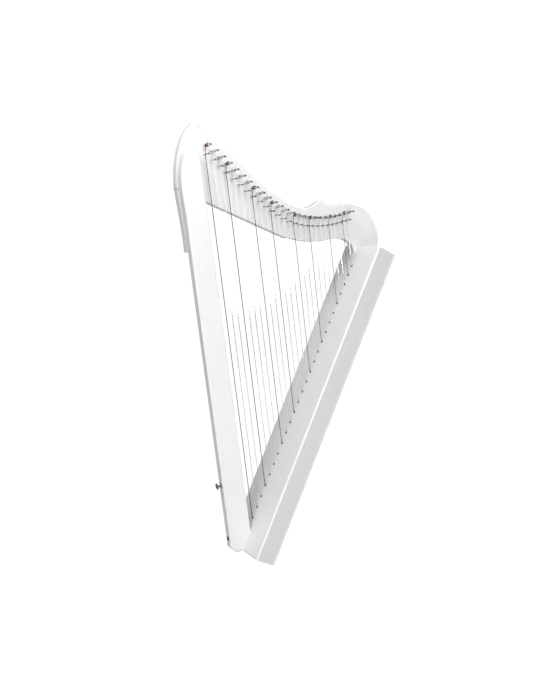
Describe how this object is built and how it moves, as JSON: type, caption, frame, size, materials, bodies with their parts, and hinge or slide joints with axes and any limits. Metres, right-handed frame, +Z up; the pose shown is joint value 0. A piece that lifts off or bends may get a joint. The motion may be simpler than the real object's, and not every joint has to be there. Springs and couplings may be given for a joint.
{
  "type": "lap harp",
  "caption": "Small lever-less lap harp: slanted flat box body, straight pillar lapped onto a curved neck, strings from grommets over bridge pins to square-headed tuning pins, strap buttons.",
  "frame": {"origin": "centre of the soundbox's bottom end face, at half its width and half its depth", "axes": "+X from the pillar towards the soundbox in the plane of the harp, +Y from the string side to the neck's back, +Z up with the harp in its playing position (soundbox leaning 24.8 degrees from upright)"},
  "size_m": [0.4889, 0.132, 0.9135],
  "materials": {
    "lacquered_wood": "opaque white satin lacquer over hardwood",
    "bare_wood": "bare sanded hardwood inside the box",
    "pin_steel": "nickel-plated, slightly dulled",
    "screw_steel": "dark zinc-plated",
    "button_chrome": "polished",
    "grommet_bronze": "dark bronze",
    "anchor_plastic": "plain nylon",
    "string_red": "dyed nylon",
    "string_black": "dyed nylon",
    "string_clear": "translucent undyed nylon"
  },
  "bodies": {
    "frame": {"soundboard": "lacquered_wood", "side_near": "lacquered_wood", "side_far": "lacquered_wood", "back_panel": "lacquered_wood", "bottom_block": "bare_wood", "top_block": "bare_wood", "neck_dowels": "bare_wood", "string_rib": "bare_wood", "back_braces": "bare_wood", "neck_board": "lacquered_wood", "neck_splice": "lacquered_wood", "pillar": "lacquered_wood", "lap_screws": "screw_steel", "foot_screw": "screw_steel", "strap_button_front": "button_chrome", "strap_button_rear": "button_chrome", "button_screws": "button_chrome", "bridge_pins": "pin_steel", "grommets": "grommet_bronze", "string_anchors": "anchor_plastic", "strings_red": "string_red", "strings_black": "string_black", "strings_clear": "string_clear", "string_tails": "string_clear", "string_ends": "string_clear"},
    "tuner_01": {"tuning_pin_01": "pin_steel"},
    "tuner_02": {"tuning_pin_02": "pin_steel"},
    "tuner_03": {"tuning_pin_03": "pin_steel"},
    "tuner_04": {"tuning_pin_04": "pin_steel"},
    "tuner_05": {"tuning_pin_05": "pin_steel"},
    "tuner_06": {"tuning_pin_06": "pin_steel"},
    "tuner_07": {"tuning_pin_07": "pin_steel"},
    "tuner_08": {"tuning_pin_08": "pin_steel"},
    "tuner_09": {"tuning_pin_09": "pin_steel"},
    "tuner_10": {"tuning_pin_10": "pin_steel"},
    "tuner_11": {"tuning_pin_11": "pin_steel"},
    "tuner_12": {"tuning_pin_12": "pin_steel"},
    "tuner_13": {"tuning_pin_13": "pin_steel"},
    "tuner_14": {"tuning_pin_14": "pin_steel"},
    "tuner_15": {"tuning_pin_15": "pin_steel"},
    "tuner_16": {"tuning_pin_16": "pin_steel"},
    "tuner_17": {"tuning_pin_17": "pin_steel"},
    "tuner_18": {"tuning_pin_18": "pin_steel"},
    "tuner_19": {"tuning_pin_19": "pin_steel"},
    "tuner_20": {"tuning_pin_20": "pin_steel"},
    "tuner_21": {"tuning_pin_21": "pin_steel"},
    "tuner_22": {"tuning_pin_22": "pin_steel"},
    "tuner_23": {"tuning_pin_23": "pin_steel"},
    "tuner_24": {"tuning_pin_24": "pin_steel"},
    "tuner_25": {"tuning_pin_25": "pin_steel"},
    "tuner_26": {"tuning_pin_26": "pin_steel"}
  },
  "joints": [
    {"name": "turn_01", "type": "hinge", "parent": "frame", "child": "tuner_01", "pos_m": [-0.09194, 0, 0.86248], "axis": [0, 1, 0], "range_deg": [-180, 180]},
    {"name": "turn_02", "type": "hinge", "parent": "frame", "child": "tuner_02", "pos_m": [-0.07683, 0, 0.85154], "axis": [0, 1, 0], "range_deg": [-180, 180]},
    {"name": "turn_03", "type": "hinge", "parent": "frame", "child": "tuner_03", "pos_m": [-0.0617, 0, 0.83994], "axis": [0, 1, 0], "range_deg": [-180, 180]},
    {"name": "turn_04", "type": "hinge", "parent": "frame", "child": "tuner_04", "pos_m": [-0.04659, 0, 0.82794], "axis": [0, 1, 0], "range_deg": [-180, 180]},
    {"name": "turn_05", "type": "hinge", "parent": "frame", "child": "tuner_05", "pos_m": [-0.03151, 0, 0.8158], "axis": [0, 1, 0], "range_deg": [-180, 180]},
    {"name": "turn_06", "type": "hinge", "parent": "frame", "child": "tuner_06", "pos_m": [-0.01652, 0, 0.80381], "axis": [0, 1, 0], "range_deg": [-180, 180]},
    {"name": "turn_07", "type": "hinge", "parent": "frame", "child": "tuner_07", "pos_m": [-0.00165, 0, 0.79221], "axis": [0, 1, 0], "range_deg": [-180, 180]},
    {"name": "turn_08", "type": "hinge", "parent": "frame", "child": "tuner_08", "pos_m": [0.01308, 0, 0.78116], "axis": [0, 1, 0], "range_deg": [-180, 180]},
    {"name": "turn_09", "type": "hinge", "parent": "frame", "child": "tuner_09", "pos_m": [0.02767, 0, 0.77072], "axis": [0, 1, 0], "range_deg": [-180, 180]},
    {"name": "turn_10", "type": "hinge", "parent": "frame", "child": "tuner_10", "pos_m": [0.04211, 0, 0.76099], "axis": [0, 1, 0], "range_deg": [-180, 180]},
    {"name": "turn_11", "type": "hinge", "parent": "frame", "child": "tuner_11", "pos_m": [0.05638, 0, 0.75198], "axis": [0, 1, 0], "range_deg": [-180, 180]},
    {"name": "turn_12", "type": "hinge", "parent": "frame", "child": "tuner_12", "pos_m": [0.07048, 0, 0.74377], "axis": [0, 1, 0], "range_deg": [-180, 180]},
    {"name": "turn_13", "type": "hinge", "parent": "frame", "child": "tuner_13", "pos_m": [0.08438, 0, 0.73664], "axis": [0, 1, 0], "range_deg": [-180, 180]},
    {"name": "turn_14", "type": "hinge", "parent": "frame", "child": "tuner_14", "pos_m": [0.09803, 0, 0.73086], "axis": [0, 1, 0], "range_deg": [-180, 180]},
    {"name": "turn_15", "type": "hinge", "parent": "frame", "child": "tuner_15", "pos_m": [0.11141, 0, 0.72658], "axis": [0, 1, 0], "range_deg": [-180, 180]},
    {"name": "turn_16", "type": "hinge", "parent": "frame", "child": "tuner_16", "pos_m": [0.12453, 0, 0.72383], "axis": [0, 1, 0], "range_deg": [-180, 180]},
    {"name": "turn_17", "type": "hinge", "parent": "frame", "child": "tuner_17", "pos_m": [0.13743, 0, 0.72225], "axis": [0, 1, 0], "range_deg": [-180, 180]},
    {"name": "turn_18", "type": "hinge", "parent": "frame", "child": "tuner_18", "pos_m": [0.15016, 0, 0.72146], "axis": [0, 1, 0], "range_deg": [-180, 180]},
    {"name": "turn_19", "type": "hinge", "parent": "frame", "child": "tuner_19", "pos_m": [0.16275, 0, 0.72121], "axis": [0, 1, 0], "range_deg": [-180, 180]},
    {"name": "turn_20", "type": "hinge", "parent": "frame", "child": "tuner_20", "pos_m": [0.17521, 0, 0.72149], "axis": [0, 1, 0], "range_deg": [-180, 180]},
    {"name": "turn_21", "type": "hinge", "parent": "frame", "child": "tuner_21", "pos_m": [0.18752, 0, 0.72236], "axis": [0, 1, 0], "range_deg": [-180, 180]},
    {"name": "turn_22", "type": "hinge", "parent": "frame", "child": "tuner_22", "pos_m": [0.19969, 0, 0.72388], "axis": [0, 1, 0], "range_deg": [-180, 180]},
    {"name": "turn_23", "type": "hinge", "parent": "frame", "child": "tuner_23", "pos_m": [0.2117, 0, 0.72609], "axis": [0, 1, 0], "range_deg": [-180, 180]},
    {"name": "turn_24", "type": "hinge", "parent": "frame", "child": "tuner_24", "pos_m": [0.22357, 0, 0.72885], "axis": [0, 1, 0], "range_deg": [-180, 180]},
    {"name": "turn_25", "type": "hinge", "parent": "frame", "child": "tuner_25", "pos_m": [0.23534, 0, 0.73192], "axis": [0, 1, 0], "range_deg": [-180, 180]},
    {"name": "turn_26", "type": "hinge", "parent": "frame", "child": "tuner_26", "pos_m": [0.24703, 0, 0.73506], "axis": [0, 1, 0], "range_deg": [-180, 180]}
  ]
}
